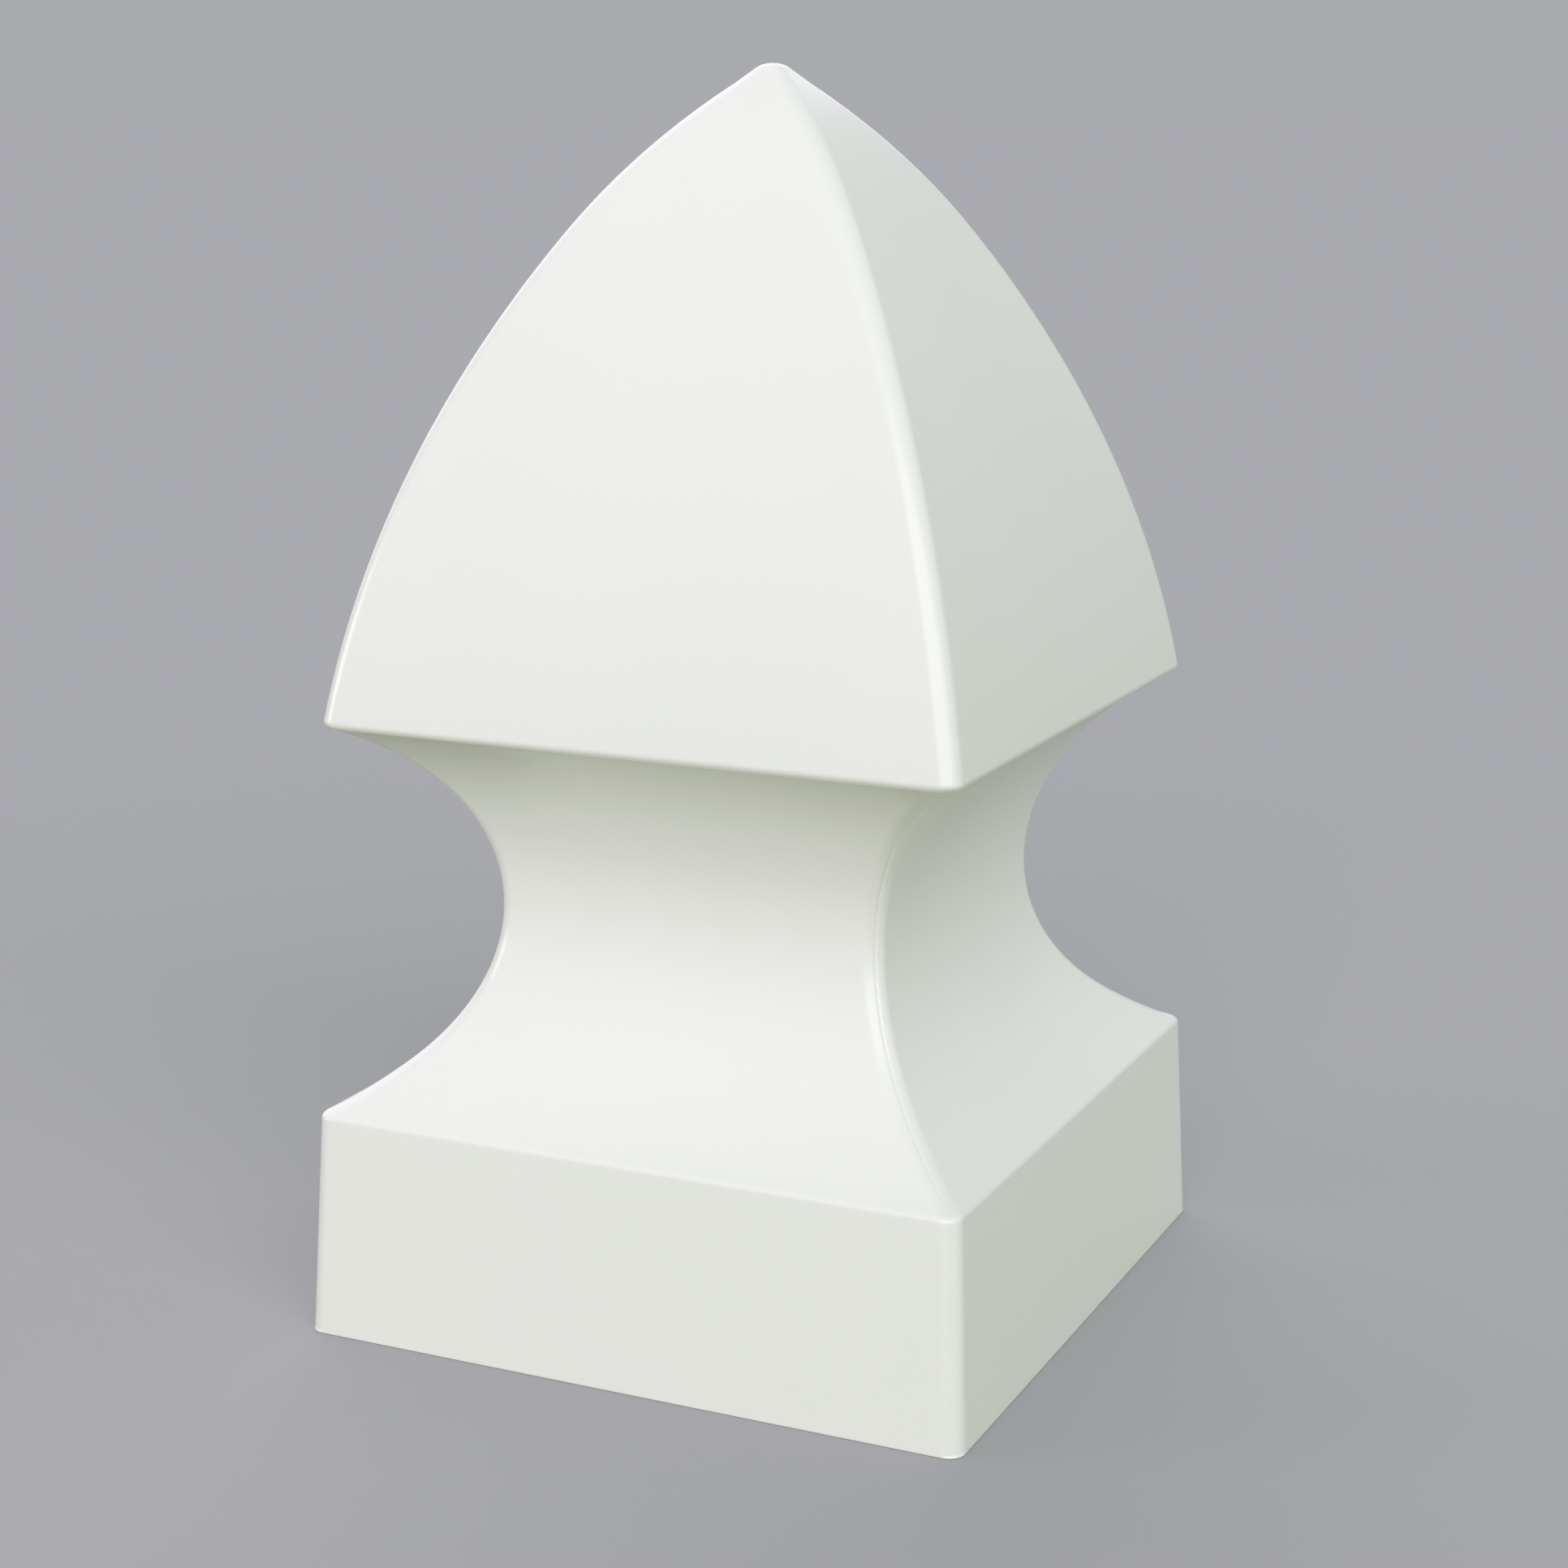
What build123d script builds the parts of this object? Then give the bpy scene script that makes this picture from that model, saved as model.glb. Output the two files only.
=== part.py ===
from build123d import *
import math
import os

# Gothic cap for a nominal 5 inch square vinyl post, moulded as one hollow shell.
# From the rim up: a drafted square flange that slips over the post, a sloping sill,
# a concave neck, and a head whose four bowed faces meet along rounded corners in a
# blunt tip. The wall follows the outside all the way, and the shell is open below.
# Origin: centre of the rim, on the plane that the cap stands on. +Z points to the tip.

# Post and fit
post_width = 127.0
post_clearance = 0.5
wall = 2.5

# Flange: its pocket takes the post, and it spreads towards the rim to guide the post in
flange_height = 44.2
flange_spread = 2.0

# Sill and neck: the sill rises inwards from the flange, and the cove sets off a little steeper
sill_run = 13.0
sill_rise = 9.2
cove_slope = 42.5
head_start = 120.8

# Head: each face bows from its lower edge to the shoulder, and tighter on to the tip
head_width = 129.2
face_lean = 8.9
shoulder_width = 58.6
tip_height = 29.8
tip_width = 3.4
height = 242.6

# Corners in plan: one radius up to the tip, where it is at most this share of the half width
corner_radius = 3.5
tip_roundness = 0.6

# Roundings along the flange's top edge, the head's lower edge and the tip
flange_edge_radius = 1.2
head_edge_radius = 1.5
tip_edge_radius = 1.2

# The cavity ends this far below the tip, so the tip itself is solid
tip_thickness = 7.0

# Square rings that carry the skin along each curved stretch of the side
rings_per_curve = 11

# How far from its level an edge still counts as lying on it
level_tolerance = 0.01

flange_top_width = post_width + 2 * (post_clearance + wall)
rim_width = flange_top_width + 2 * flange_spread


def side_of_cap(foot):
    """Side view of one face from the rim to the tip, carried the foot's length below the rim."""
    slope = math.radians(cove_slope)
    lean = math.radians(face_lean)
    foot_spread = flange_spread * foot / flange_height
    with BuildLine(Plane.XZ) as side:
        flange = Line((rim_width / 2 + foot_spread, -foot), (flange_top_width / 2, flange_height))
        sill = Line(flange @ 1, (flange_top_width / 2 - sill_run, flange_height + sill_rise))
        under_head = (head_width / 2, head_start)
        cove = TangentArc(sill @ 1, under_head, tangent=(-math.cos(slope), math.sin(slope)))
        shoulder = (shoulder_width / 2, height - tip_height)
        bow = TangentArc(cove @ 1, shoulder, tangent=(-math.sin(lean), math.cos(lean)))
        TangentArc(bow @ 1, (tip_width / 2, height), tangent=bow % 1)
    return side.line


def inward(edge, share):
    """Unit vector square to the edge and into the cap, at this share of the edge's length."""
    along = edge % share
    return Vector(-along.Z, 0, along.X)


def side_of_cavity(side):
    """The side view moved in by the wall, with its corners mitred."""
    edges = side.edges()
    points = [edges[0] @ 0 + inward(edges[0], 0) * wall]
    for below, above in zip(edges, edges[1:]):
        mitre = inward(below, 1) + inward(above, 0)
        points.append(above @ 0 + mitre * (2 * wall / mitre.dot(mitre)))
    points.append(edges[-1] @ 1 + inward(edges[-1], 1) * wall)
    with BuildLine() as line:
        for edge, start, end in zip(edges, points, points[1:]):
            if edge.geom_type == GeomType.LINE:
                Line(start, end)
            else:
                ThreePointArc(start, edge @ 0.5 + inward(edge, 0.5) * wall, end)
        split(bisect_by=Plane.XY.offset(height - tip_thickness), keep=Keep.BOTTOM)
    return line.line


def rings_along(edge, inset):
    """Rounded squares whose half width and level are points of one edge of the side view."""
    count = 2 if edge.geom_type == GeomType.LINE else rings_per_curve
    rings = []
    for step in range(count):
        point = edge @ (step / (count - 1))
        with BuildSketch(Plane.XY.offset(point.Z)) as ring:
            width = 2 * point.X
            radius = min(corner_radius - inset, tip_roundness * point.X)
            RectangleRounded(width, width, radius)
        rings.append(ring.sketch)
    return rings


# Outer skin, a stretch at a time, with its three edges rounded
with BuildPart() as outside:
    for edge in side_of_cap(0).edges():
        loft(rings_along(edge, 0))
    for level, radius in (
        (flange_height, flange_edge_radius),
        (head_start, head_edge_radius),
        (height, tip_edge_radius),
    ):
        low, high = level - level_tolerance, level + level_tolerance
        fillet(outside.edges().filter_by_position(Axis.Z, low, high), radius)

# Cavity: the same side view set in by the wall, carried below the rim and cut off under the tip
with BuildPart() as cavity:
    for edge in side_of_cavity(side_of_cap(wall)).edges():
        loft(rings_along(edge, wall))

with BuildPart() as post_cap:
    add(outside.part)
    add(cavity.part, mode=Mode.SUBTRACT)

os.makedirs("parts", exist_ok=True)
post_cap.part.label = "post_cap"
export_step(post_cap.part, "parts/post_cap.step")
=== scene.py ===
# %% [markdown]
# # A white cap for a square fence post
# The object is one hollow piece of moulded vinyl. From the rim up it has a square
# flange, a sloping sill, a neck that curves inwards, and a head whose four bowed
# faces meet in a blunt tip. The imported CAD model gives its exact size and place, so
# it is loaded first.

import cmath
import math
from dataclasses import dataclass

import bpy
from mathutils import Matrix, Vector


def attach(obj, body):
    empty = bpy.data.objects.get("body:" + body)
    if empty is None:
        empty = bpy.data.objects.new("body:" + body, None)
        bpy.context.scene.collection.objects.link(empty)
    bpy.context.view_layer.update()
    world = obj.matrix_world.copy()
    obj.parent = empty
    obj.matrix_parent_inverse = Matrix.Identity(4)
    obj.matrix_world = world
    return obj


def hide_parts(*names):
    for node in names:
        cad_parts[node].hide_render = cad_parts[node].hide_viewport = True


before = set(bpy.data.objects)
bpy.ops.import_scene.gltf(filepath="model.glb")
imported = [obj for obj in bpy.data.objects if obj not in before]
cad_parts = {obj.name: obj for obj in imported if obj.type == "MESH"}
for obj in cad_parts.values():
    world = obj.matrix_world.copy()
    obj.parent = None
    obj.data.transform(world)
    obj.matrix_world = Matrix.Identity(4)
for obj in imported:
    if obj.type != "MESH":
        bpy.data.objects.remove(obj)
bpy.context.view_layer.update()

# %% [markdown]
# ## The camera
# The camera comes first. Its place was found by fitting the cap's outline: it stands
# 25 degrees to the right of the front, 24 cm up, and looks 13 degrees down. The
# photograph leans by an eighth of a degree, so the camera does too.

# %% Camera
IMAGE_WIDTH = 1932
FOCAL_PIXELS = 3634
SENSOR_WIDTH = 36.0
CAMERA_PLACE = (0.2412, -0.5210, 0.2355)
CAMERA_TURN = 24.600
CAMERA_DOWN = 13.027
CAMERA_LEAN = 0.135

camera_data = bpy.data.cameras.new("camera")
camera_data.sensor_width = SENSOR_WIDTH
camera_data.lens = FOCAL_PIXELS / IMAGE_WIDTH * SENSOR_WIDTH
camera = bpy.data.objects.new("camera", camera_data)
bpy.context.scene.collection.objects.link(camera)
turn = Matrix.Rotation(math.radians(CAMERA_TURN), 4, "Z")
tilt = Matrix.Rotation(math.radians(90 - CAMERA_DOWN), 4, "X")
lean = Matrix.Rotation(math.radians(CAMERA_LEAN), 4, "Z")
camera.matrix_world = Matrix.Translation(CAMERA_PLACE) @ turn @ tilt @ lean
bpy.context.scene.camera = camera
print("lens:", round(camera_data.lens, 1), "mm")

# %% [markdown]
# ## Sizes
# These are the sizes of the CAD part, in metres, with a few finer ones. The CAD
# part's sill is straight, where the photograph shows a narrow land along the
# flange's edge and then a gentle curve into the neck. The real cap's inside edges
# are a little blunt, as every moulded edge is, so they get small radii of their own,
# and the tip is rounded off to a small dome, softer than in the CAD part.

# %% Sizes
MM = 0.001
RIM_WIDTH = 137.0 * MM
FLANGE_TOP_WIDTH = 133.0 * MM
FLANGE_HEIGHT = 44.2 * MM
LAND_RUN = 2.5 * MM
LAND_RISE = 1.3 * MM
SILL_RUN = 13.0 * MM
SILL_RISE = 9.2 * MM
SILL_SLOPE = math.radians(31.5)
HEAD_START = 120.8 * MM
HEAD_WIDTH = 129.2 * MM
FACE_LEAN = math.radians(8.9)
SHOULDER_WIDTH = 58.6 * MM
TIP_HEIGHT = 29.8 * MM
TIP_WIDTH = 3.4 * MM
HEIGHT = 242.6 * MM
WALL = 2.5 * MM
TIP_THICKNESS = 7.0 * MM
CORNER_RADIUS = 3.5 * MM
TIP_ROUNDNESS = 0.6
FLANGE_EDGE_RADIUS = 1.2 * MM
HEAD_EDGE_RADIUS = 1.5 * MM
TIP_EDGE_RADIUS = 4.0 * MM
INNER_EDGE_RADIUS = 0.4 * MM
CEILING_EDGE_RADIUS = 1.0 * MM
RIM_EDGE_RADIUS = 0.3 * MM
CREASE_RADIUS = 4.0 * MM

# %% [markdown]
# ## The side line
# Cut through the middle of a face, the cap's wall is a line of straight and evenly
# bent runs. It could be drawn by hand as a curve, but then its arcs would only be
# close to the real ones. Here each run knows its start, its heading and its bend, so
# any point on it is exact, and the same run set in by the wall is exact as well. A
# complex number holds a point: half the width, and the level as its imaginary part.

# %% A run of the line
@dataclass
class Run:
    """A straight or evenly bent piece of the side line."""

    start: complex
    heading: float
    bend: float
    length: float

    def direction(self, along):
        return cmath.rect(1, self.heading + self.bend * along)

    def point(self, along):
        if self.bend:
            return self.start + (self.direction(along) - self.direction(0)) / (1j * self.bend)
        return self.start + along * self.direction(0)

    def set_in(self, depth):
        """The same run moved to its left."""
        shrink = 1 - self.bend * depth
        start = self.start + 1j * depth * self.direction(0)
        return Run(start, self.heading, self.bend / shrink, self.length * shrink)

    def turned_back(self):
        """The same run walked from its end to its start."""
        heading = self.heading + self.bend * self.length + math.pi
        return Run(self.point(self.length), heading, -self.bend, self.length)


def run_between(start, end, heading=None):
    """The straight run between two points, or with a heading the arc that sets off on it."""
    chord = end - start
    if heading is None:
        return Run(start, cmath.phase(chord), 0.0, abs(chord))
    half_turn = cmath.phase(chord / cmath.rect(1, heading))
    length = abs(chord) * half_turn / math.sin(half_turn)
    return Run(start, heading, 2 * half_turn / length, length)


# %% [markdown]
# From the rim up, the runs are the flange, a narrow land, the sill, the cove of the
# neck, the bow of the face and its tighter end at the tip. A bent run sets off in the
# heading of the run before it, except where the real cap has an edge.

# %% Runs of the side line
flange = run_between(
    complex(RIM_WIDTH / 2, 0),
    complex(FLANGE_TOP_WIDTH / 2, FLANGE_HEIGHT),
)
flange_end = flange.point(flange.length)
land = run_between(flange_end, flange_end + complex(-LAND_RUN, LAND_RISE))
sill_end = flange_end + complex(-SILL_RUN, SILL_RISE)
sill = run_between(land.point(land.length), sill_end, math.pi - SILL_SLOPE)
under_head = complex(HEAD_WIDTH / 2, HEAD_START)
cove = run_between(sill_end, under_head, sill.heading + sill.bend * sill.length)
shoulder = complex(SHOULDER_WIDTH / 2, HEIGHT - TIP_HEIGHT)
bow = run_between(cove.point(cove.length), shoulder, math.pi / 2 + FACE_LEAN)
tip_end = complex(TIP_WIDTH / 2, HEIGHT)
tip = run_between(shoulder, tip_end, bow.heading + bow.bend * bow.length)
crown = run_between(tip_end, complex(0, HEIGHT))
named_runs = {
    "flange": flange,
    "land": land,
    "sill": sill,
    "cove": cove,
    "bow": bow,
    "tip": tip,
}
for name, run in named_runs.items():
    print(name, "is", round(run.length / MM, 1), "mm long and turns",
          round(math.degrees(run.bend * run.length), 1), "degrees")

# %% [markdown]
# Where two runs meet, the corner is rounded. The rounding's centre lies one radius
# away from both runs, so a few steps of Newton's method find how far along each run
# the rounding starts and ends.

# %% Round a corner
NEWTON_STEPS = 12


def cross(a, b):
    return (a.conjugate() * b).imag


def round_corner(before, after, radius):
    """Where the rounding leaves one run and joins the next, and its centre."""
    bend_side = (after.direction(0) / before.direction(before.length)).imag
    reach = math.copysign(radius, bend_side)
    leave, join = before.length, 0.0
    for _ in range(NEWTON_STEPS):
        first = before.point(leave) + 1j * reach * before.direction(leave)
        second = after.point(join) + 1j * reach * after.direction(join)
        pace_before = before.direction(leave) * (1 - reach * before.bend)
        pace_after = after.direction(join) * (1 - reach * after.bend)
        gap = second - first
        leave += cross(gap, pace_after) / cross(pace_before, pace_after)
        join += cross(gap, pace_before) / cross(pace_before, pace_after)
    return leave, join, before.point(leave) + 1j * reach * before.direction(leave)


# %% [markdown]
# The whole wall is one line: from the middle of the cavity's ceiling, down inside,
# across the rim, and up outside to the middle of the crown. Each entry is a run, how
# deep it lies below the outside at its start and its end, and the radius of the
# rounding that leads to the next run.

# %% The wall as one line
CEILING_RUN = 4.0 * MM

inner_flange = flange.set_in(WALL)
below_rim = -inner_flange.start.imag / inner_flange.direction(0).imag
inner_flange.start = inner_flange.point(below_rim)
inner_flange.length -= below_rim
ceiling_level = HEIGHT - TIP_THICKNESS
ceiling = run_between(complex(0, ceiling_level), complex(CEILING_RUN, ceiling_level))
rim = run_between(inner_flange.start, flange.start)
wall_line = [
    (ceiling, WALL, WALL, CEILING_EDGE_RADIUS),
    (tip.set_in(WALL).turned_back(), WALL, WALL, 0),
    (bow.set_in(WALL).turned_back(), WALL, WALL, INNER_EDGE_RADIUS),
    (cove.set_in(WALL).turned_back(), WALL, WALL, 0),
    (sill.set_in(WALL).turned_back(), WALL, WALL, CREASE_RADIUS),
    (land.set_in(WALL).turned_back(), WALL, WALL, INNER_EDGE_RADIUS),
    (inner_flange.turned_back(), WALL, WALL, RIM_EDGE_RADIUS),
    (rim, WALL, 0, RIM_EDGE_RADIUS),
    (flange, 0, 0, FLANGE_EDGE_RADIUS),
    (land, 0, 0, CREASE_RADIUS),
    (sill, 0, 0, 0),
    (cove, 0, 0, HEAD_EDGE_RADIUS),
    (bow, 0, 0, 0),
    (tip, 0, 0, TIP_EDGE_RADIUS),
    (crown, 0, 0, 0),
]
print("runs in the wall's line:", len(wall_line))

# %% [markdown]
# Points are then set along the line, close together at the ends of each run and in
# the roundings, because that is where the light changes fastest. Each point also
# remembers how deep it lies below the outside, which the corners need later.

# %% Points along the line
FEWEST_STEPS = 3
LONGEST_STEP = 3.0 * MM
RUN_TURN_STEP = math.radians(1.6)
ROUNDING_TURN_STEP = math.radians(9)


def wall_points():
    """(point, depth below the outside) from the ceiling's middle to the crown's."""
    points = []
    begin = 0.0
    for place, (run, depth_in, depth_out, radius) in enumerate(wall_line):
        leave, join, centre = run.length, 0.0, None
        if radius:
            leave, join, centre = round_corner(run, wall_line[place + 1][0], radius)
        length = leave - begin
        turns = abs(run.bend) * length / RUN_TURN_STEP
        steps = math.ceil(max(FEWEST_STEPS, length / LONGEST_STEP, turns))
        last = steps if centre is not None or run is crown else steps - 1
        for step in range(last + 1):
            share = (1 - math.cos(math.pi * step / steps)) / 2
            along = begin + length * share
            depth = depth_in + (depth_out - depth_in) * along / run.length
            points.append((run.point(along), depth))
        if centre is not None:
            start, next_run = points[-1][0], wall_line[place + 1][0]
            turned = cmath.phase((next_run.point(join) - centre) / (start - centre))
            steps = math.ceil(abs(turned) / ROUNDING_TURN_STEP)
            for step in range(1, steps):
                spoke = (start - centre) * cmath.rect(1, turned * step / steps)
                points.append((centre + spoke, points[-1][1]))
        begin = join
    return points


line_points = wall_points()
line_mesh = bpy.data.meshes.new("side_line")
line_mesh.from_pydata(
    [(point.real, 0, point.imag) for point, depth in line_points],
    [(number, number + 1) for number in range(len(line_points) - 1)],
    [],
)
depths = line_mesh.attributes.new("depth", "FLOAT", "POINT")
depths.data.foreach_set("value", [depth for point, depth in line_points])
shell = bpy.data.objects.new("post_cap_shell", line_mesh)
bpy.context.scene.collection.objects.link(shell)
print("points on the side line:", len(line_points))

# %% [markdown]
# ## Writing nodes as sums
# The shell and its finish are both node trees. Wire wraps one socket and turns
# Python's operators into Math nodes, so a rule reads as it would on paper. Board
# adds any other node in one call: its type, its settings, then its sockets.

# %% Wires and boards
class Wire:
    """A node's output that can stand in a sum."""

    def __init__(self, board, node, output=0):
        self.board = board
        self.node = node
        self.socket = node.outputs[output]

    def other(self, output):
        """Another output of the same node."""
        return Wire(self.board, self.node, output)

    def __add__(self, value):
        return self.board.math("ADD", self, value)

    def __sub__(self, value):
        return self.board.math("SUBTRACT", self, value)

    def __mul__(self, value):
        return self.board.math("MULTIPLY", self, value)

    def __truediv__(self, value):
        return self.board.math("DIVIDE", self, value)

    def __rsub__(self, value):
        return self.board.math("SUBTRACT", value, self)

    __radd__ = __add__
    __rmul__ = __mul__


class Board:
    """A node tree that nodes are added to."""

    def __init__(self, tree):
        self.tree = tree
        tree.nodes.clear()

    def node(self, kind, settings=None, sockets=None):
        """Adds a node, sets it up and returns its first output."""
        node = self.tree.nodes.new(kind)
        for name, value in (settings or {}).items():
            setattr(node, name, value)
        for name, value in (sockets or {}).items():
            if isinstance(value, Wire):
                self.tree.links.new(value.socket, node.inputs[name])
            else:
                node.inputs[name].default_value = value
        return Wire(self, node) if node.outputs else None

    def math(self, operation, first, second=0.0):
        return self.node("ShaderNodeMath", {"operation": operation}, {0: first, 1: second})

    def fade(self, value, low, high, at_low=0.0, at_high=1.0):
        """Goes smoothly from one number to another while the value goes from low to high."""
        sockets = {"Value": value, 1: low, 2: high, 3: at_low, 4: at_high}
        return self.node("ShaderNodeMapRange", {"interpolation_type": "SMOOTHSTEP"}, sockets)


# %% [markdown]
# ## The shell as a tree
# The cap is the same from all four sides, and every level of it is a square with
# rounded corners. That is a rule, so Geometry Nodes make the shell. The tree lays a
# grid whose rows are the points of the side line, and moves each point of the grid
# to its place on the square of its row. Its sizes are inputs with names, so they all
# stand in one place and not inside the tree.

# %% Inputs of the tree
SIZES = {
    "Flat Steps": 16,
    "Corner Steps": 26,
    "Corner Radius": CORNER_RADIUS,
    "Tip Roundness": TIP_ROUNDNESS,
    "Line Depth": 0.22 * MM,
    "Line Half Width": 0.45 * MM,
    "Line Bottom": FLANGE_HEIGHT + 1.0 * MM,
    "Line Top": HEAD_START - 1.0 * MM,
}

board = Board(bpy.data.node_groups.new("square_shell", "GeometryNodeTree"))
tree = board.tree
tree.interface.new_socket("Geometry", in_out="INPUT", socket_type="NodeSocketGeometry")
for name, value in SIZES.items():
    kind = "NodeSocketInt" if isinstance(value, int) else "NodeSocketFloat"
    tree.interface.new_socket(name, in_out="INPUT", socket_type=kind)
tree.interface.new_socket("Finish", in_out="INPUT", socket_type="NodeSocketMaterial")
tree.interface.new_socket("Geometry", in_out="OUTPUT", socket_type="NodeSocketGeometry")
given = board.node("NodeGroupInput")
print("sizes of the tree:", ", ".join(SIZES))

# %% [markdown]
# A grid numbers its points row by row, so a point's number tells its row and its
# column. The columns go once round the square: along a flat side, round a corner,
# and so on four times. The last column lies on the first and is merged with it later.

# %% Rows and columns
flat, corner = given.other("Flat Steps"), given.other("Corner Steps")
columns = 4 * (flat + corner) + 1
rows = board.node("GeometryNodeAttributeDomainSize", {}, {"Geometry": given})
grid = board.node("GeometryNodeMeshGrid", {}, {"Vertices X": rows, "Vertices Y": columns})
index = board.node("GeometryNodeInputIndex")
row = board.math("FLOOR", (index + 0.5) / columns)
column = index - row * columns
quarter = board.math("FLOOR", (column + 0.5) / (flat + corner))
step = column - quarter * (flat + corner)
print("columns round the square:", 4 * (SIZES["Flat Steps"] + SIZES["Corner Steps"]))

# %% [markdown]
# Each row takes its half width, its level and its depth below the outside from its
# point on the side line. The corners keep one radius up to the tip, where they
# shrink with the square. Inside, the radius is smaller by the wall, so the wall is
# even round the corners too.

# %% Read the side line
def on_side_line(value, kind):
    """The value at the row's point on the side line."""
    sockets = {"Geometry": given, "Value": value, "Index": row}
    return board.node("GeometryNodeSampleIndex", {"data_type": kind}, sockets)


position = board.node("GeometryNodeInputPosition")
place = on_side_line(position, "FLOAT_VECTOR")
half_width = board.node("ShaderNodeSeparateXYZ", {}, {0: place})
level = half_width.other("Z")
depth = board.node("GeometryNodeInputNamedAttribute", {"data_type": "FLOAT"}, {"Name": "depth"})
inset = on_side_line(depth, "FLOAT")
radius = given.other("Corner Radius") - inset
radius = board.math("MINIMUM", radius, given.other("Tip Roundness") * half_width)
print("nodes so far:", len(tree.nodes))

# %% [markdown]
# Along a flat side the columns crowd towards both ends, where the rounding starts.
# Round a corner they crowd towards its middle, where the mould line needs them.

# %% Round the square
CROWD_TO_MIDDLE = 1.6
QUARTER = math.pi / 2

across = board.math("MINIMUM", step / flat, 1.0) * math.pi
across = 0.0 - board.math("COSINE", across)
from_middle = board.math("MAXIMUM", step - flat, 0.0) / corner * 2.0 - 1.0
crowded = board.math("POWER", board.math("ABSOLUTE", from_middle), CROWD_TO_MIDDLE)
from_diagonal = board.math("SIGN", from_middle) * crowded * (QUARTER / 2)
angle = from_diagonal + QUARTER / 2
print("nodes so far:", len(tree.nodes))

# %% [markdown]
# The neck is undercut, so two slides of the mould close round it and leave a fine
# line where they meet, on two opposite corners. It is a shallow groove from the sill
# to the head's lower edge. Bump would only shade it, so the tree sinks it into the
# mesh, in the middle of the corner, and lets it fade at both ends.

# %% Mould line
LINE_FADE = 3.0 * MM

off_centre = board.math("ABSOLUTE", from_diagonal * radius)
line = board.fade(off_centre, 0.0, given.other("Line Half Width"), 1.0, 0.0)
bottom, top = given.other("Line Bottom"), given.other("Line Top")
line = line * board.fade(level, bottom, bottom + LINE_FADE)
line = line * board.fade(level, top - LINE_FADE, top, 1.0, 0.0)
line = line * board.math("MODULO", quarter, 2.0)
outside = board.math("LESS_THAN", inset, WALL / 2)
reach = radius - line * outside * given.other("Line Depth")
print("nodes so far:", len(tree.nodes))

# %% [markdown]
# Now each point goes to its place on the first quarter of the square and is turned on
# to its own quarter. The seam and the two poles are merged, so the shell is closed,
# its faces are turned outwards, and the tree ends by setting the finish.

# %% Close the shell
MERGE_DISTANCE = 0.002 * MM

core = half_width - radius
east = core + reach * board.math("COSINE", angle)
north = core * across + reach * board.math("SINE", angle)
point = board.node("ShaderNodeCombineXYZ", {}, {0: east, 1: north, 2: level})
sockets = {"Vector": point, "Angle": quarter * QUARTER}
point = board.node("ShaderNodeVectorRotate", {"rotation_type": "Z_AXIS"}, sockets)
moved = board.node("GeometryNodeSetPosition", {}, {"Geometry": grid, "Position": point})
kept = {"data_type": "FLOAT", "domain": "POINT"}
sockets = {"Geometry": moved, "Name": "depth", "Value": inset}
noted = board.node("GeometryNodeStoreNamedAttribute", kept, sockets)
sockets = {"Geometry": noted, "Distance": MERGE_DISTANCE}
closed = board.node("GeometryNodeMergeByDistance", {}, sockets)
outward = board.node("GeometryNodeFlipFaces", {}, {0: closed})
smooth = board.node("GeometryNodeSetShadeSmooth", {}, {"Geometry": outward})
real = board.node("GeometryNodeRealizeInstances", {}, {"Geometry": smooth})
sockets = {"Geometry": real, "Material": given.other("Finish")}
finished = board.node("GeometryNodeSetMaterial", {}, sockets)
board.node("NodeGroupOutput", {}, {"Geometry": finished})
print("nodes in the shell's tree:", len(tree.nodes))

# %% [markdown]
# ## Satin vinyl
# The vinyl is white with a breath of green, and smooth, with a soft gloss. On the
# real cap the gloss isn't quite even: the melt leaves faint clouds where it flowed,
# and the surface waves a little as it shrinks. Flat colour would show none of it.
# Object coordinates carry both patterns, so they stay in place from every side.
# Inside, the core of the mould is less polished, and the depth that the tree noted
# makes the gloss duller there. Outside, the roughness never reaches 0.27: where it
# passed that on a part of a face, the denoiser drew a faint line round the part.

# %% Finish of the vinyl
VINYL = (0.868, 0.880, 0.845, 1.0)
VINYL_CLOUD = (0.860, 0.874, 0.836, 1.0)
CLOUD_SCALE = 38.0
CLOUD_STRETCH = (1.0, 1.0, 0.35)
CLOUD_HEIGHT = 0.002 * MM
WAVE_SCALE = 18.0
WAVE_HEIGHT = 0.06 * MM
POLISHED = 0.235
DULLER_IN_CLOUDS = 0.03
DULLER_INSIDE = 0.20


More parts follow.
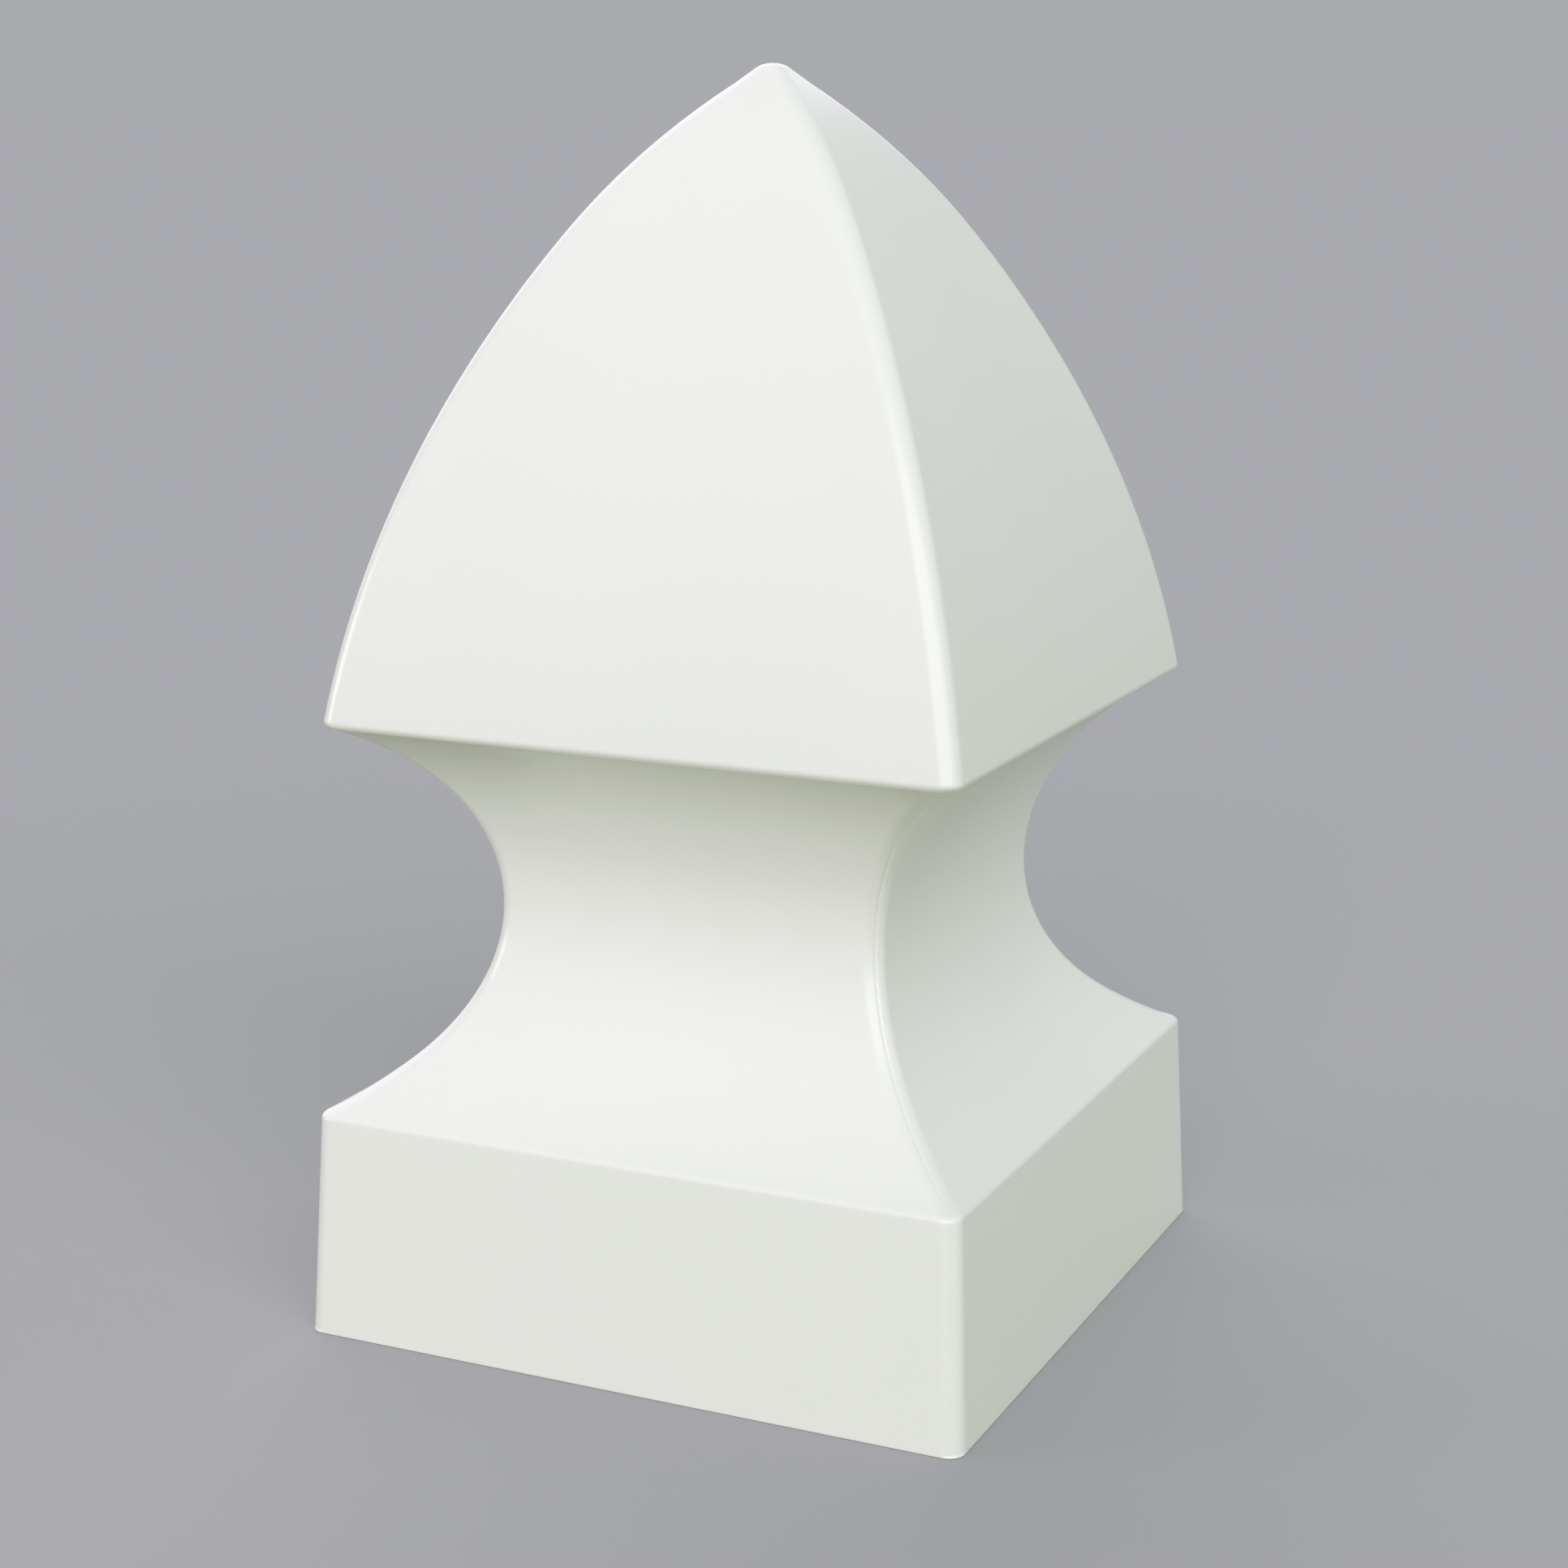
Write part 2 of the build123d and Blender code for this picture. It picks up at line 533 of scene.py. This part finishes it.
def vinyl_finish():
    """White satin vinyl with clouds and a slow wave."""
    material = bpy.data.materials.new("satin_vinyl")
    material.use_nodes = True
    board = Board(material.node_tree)
    where = board.node("ShaderNodeTexCoord").other("Object")

    stretched = {"Vector": where, "Scale": CLOUD_STRETCH}
    flow = board.node("ShaderNodeMapping", {}, stretched)
    sockets = {"Vector": flow, "Scale": CLOUD_SCALE, "Detail": 1.0, "Roughness": 0.4}
    clouds = board.node("ShaderNodeTexNoise", {}, sockets)
    sockets = {"Vector": where, "Scale": WAVE_SCALE, "Detail": 0.0}
    wave = board.node("ShaderNodeTexNoise", {}, sockets)

    cloudy = board.fade(clouds, 0.35, 0.7)
    sockets = {"Factor": cloudy, 6: VINYL, 7: VINYL_CLOUD}
    colour = board.node("ShaderNodeMix", {"data_type": "RGBA"}, sockets).other(2)
    depth = board.node("ShaderNodeAttribute", {"attribute_name": "depth"}).other("Fac")
    unpolished = board.fade(depth, 0.0, WALL)
    roughness = POLISHED + DULLER_IN_CLOUDS * cloudy + DULLER_INSIDE * unpolished

    height = wave * WAVE_HEIGHT + clouds * CLOUD_HEIGHT
    bump = board.node("ShaderNodeBump", {}, {"Height": height, "Distance": 1.0, "Strength": 1.0})
    sockets = {"Base Color": colour, "Roughness": roughness, "Normal": bump, "IOR": 1.53}
    vinyl = board.node("ShaderNodeBsdfPrincipled", {}, sockets)
    board.node("ShaderNodeOutputMaterial", {}, {"Surface": vinyl})
    return material


vinyl = vinyl_finish()
print("nodes in the vinyl's tree:", len(vinyl.node_tree.nodes))

# %% [markdown]
# ## Make the shell
# The modifier's inputs are set by their identifiers before Blender first works the
# tree out. The result is then kept as a plain mesh, since the export wants no live
# modifiers.

# %% Run the tree
modifier = shell.modifiers.new("shell", "NODES")
modifier.node_group = tree
for item in tree.interface.items_tree:
    if item.in_out == "INPUT" and item.name in SIZES:
        modifier[item.identifier] = SIZES[item.name]
    elif item.name == "Finish":
        modifier[item.identifier] = vinyl
evaluated = shell.evaluated_get(bpy.context.evaluated_depsgraph_get())
shell_mesh = bpy.data.meshes.new_from_object(evaluated)
shell.modifiers.remove(modifier)
shell.data = shell_mesh
shell_mesh.name = "post_cap_shell"
print("faces:", len(shell_mesh.polygons))

# %% [markdown]
# Two measures tell whether the mesh is sound. The sum of the signed volumes under its
# faces is the volume of the vinyl, and it would be negative if the faces pointed
# inwards. An edge that isn't shared by just two faces would be a hole or a fold.

# %% Measure the shell
volume = 0.0
for polygon in shell_mesh.polygons:
    corners = [shell_mesh.vertices[number].co for number in polygon.vertices]
    for second, third in zip(corners[1:], corners[2:]):
        volume += corners[0].dot(second.cross(third)) / 6
edge_use = {}
for polygon in shell_mesh.polygons:
    for key in polygon.edge_keys:
        edge_use[key] = edge_use.get(key, 0) + 1
print("volume:", round(volume * 1e6, 1), "cubic centimetres")
print("open edges:", sum(1 for count in edge_use.values() if count != 2))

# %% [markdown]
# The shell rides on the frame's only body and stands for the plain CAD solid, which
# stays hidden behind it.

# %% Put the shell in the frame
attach(shell, "root")
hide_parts("post_cap")

# %% [markdown]
# ## Floor and light
# The photograph's light was found from how the tone falls across the front corner: it
# holds to the middle of the rounding and drops fast behind it. So the main light is
# broad and stands in front, a little to the right, where its gloss brightens the
# rounding. A weaker light far to the left lifts the front face, and the world lights
# the rest from all round, as white studio walls would. The photograph says nothing
# of the light behind the cap, so a soft light there only keeps the back from going
# dark, where it doesn't reach the two faces that the photograph shows.

# %% Soft lights
def soft_light(name, turn, lift, breadth, strength):
    """A soft light, turned round the cap from the front and lifted above the floor."""
    data = bpy.data.lights.new(name, "SUN")
    data.energy = math.pi
    data.color = strength
    data.angle = math.radians(breadth)
    lamp = bpy.data.objects.new(name, data)
    turned = Matrix.Rotation(math.radians(turn), 4, "Z")
    lifted = Matrix.Rotation(math.radians(90 - lift), 4, "X")
    lamp.matrix_world = turned @ lifted
    bpy.context.scene.collection.objects.link(lamp)


soft_light("main_light", turn=35, lift=15, breadth=80, strength=(0.776, 0.748, 0.805))
soft_light("side_light", turn=-60, lift=5, breadth=30, strength=(0.290, 0.250, 0.310))
soft_light("back_light", turn=-140, lift=22, breadth=70, strength=(0.330, 0.315, 0.355))
WORLD = (0.503, 0.533, 0.512, 1.0)

# %% [markdown]
# The cap stands on a plain floor that runs to the horizon in one even tone, which is
# the tone of the backdrop divided by the light that falls on the floor. What the
# floor throws back on the cap is another matter: under the head the real cap is
# lit by little more than its own white and a dull ground. So the floor has its
# plain tone for the camera and for the gloss that mirrors it, and a darker,
# yellower one for the rays that light the cap.

# %% Floor
def from_screen(red, green, blue):
    """The linear colour of a tone that is read from the screen in steps of 255."""
    def linear(value):
        value /= 255
        return value / 12.92 if value <= 0.04045 else ((value + 0.055) / 1.055) ** 2.4
    return (linear(red), linear(green), linear(blue), 1.0)


BACKDROP = from_screen(169, 170, 174)
FLOOR_LIGHT = (0.900, 0.914, 0.921, 1.0)
FLOOR_GLOW = (0.184, 0.220, 0.090, 1.0)
FLOOR_REACH = 40.0
floor_seen = [tone / light for tone, light in zip(BACKDROP, FLOOR_LIGHT)]
floor_felt = [glow / light for glow, light in zip(FLOOR_GLOW, FLOOR_LIGHT)]
print("floor colour:", [round(part, 3) for part in floor_seen])

floor_mesh = bpy.data.meshes.new("floor")
corners = [(-FLOOR_REACH, -FLOOR_REACH), (FLOOR_REACH, -FLOOR_REACH)]
corners += [(FLOOR_REACH, FLOOR_REACH), (-FLOOR_REACH, FLOOR_REACH)]
floor_mesh.from_pydata([(x, y, 0.0) for x, y in corners], [], [(0, 1, 2, 3)])
floor = bpy.data.objects.new("floor", floor_mesh)
bpy.context.scene.collection.objects.link(floor)
floor_finish = bpy.data.materials.new("matt_floor")
floor_finish.use_nodes = True
board = Board(floor_finish.node_tree)
rays = board.node("ShaderNodeLightPath")
seen = rays + rays.other("Is Glossy Ray") + rays.other("Is Transmission Ray")
sockets = {"Factor": seen, 6: floor_felt, 7: floor_seen}
colour = board.node("ShaderNodeMix", {"data_type": "RGBA"}, sockets).other(2)
sockets = {"Base Color": colour, "Roughness": 1.0, "Specular IOR Level": 0.0}
matt = board.node("ShaderNodeBsdfPrincipled", {}, sockets)
board.node("ShaderNodeOutputMaterial", {}, {"Surface": matt})
floor_mesh.materials.append(floor_finish)

# %% [markdown]
# To the camera and to the gloss the world shows the tone of the floor, so the
# horizon disappears, while the floor keeps the shadow.

# %% World
world = bpy.data.worlds.new("studio")
world.use_nodes = True
board = Board(world.node_tree)
rays = board.node("ShaderNodeLightPath")
seen = rays + rays.other("Is Glossy Ray") + rays.other("Is Transmission Ray")
around = board.node("ShaderNodeBackground", {}, {"Color": WORLD, "Strength": 1.0})
behind = board.node("ShaderNodeBackground", {}, {"Color": BACKDROP, "Strength": 1.0})
sky = board.node("ShaderNodeMixShader", {}, {0: seen, 1: around, 2: behind})
board.node("ShaderNodeOutputWorld", {}, {"Surface": sky})
bpy.context.scene.world = world
bpy.context.scene.view_settings.view_transform = "Standard"
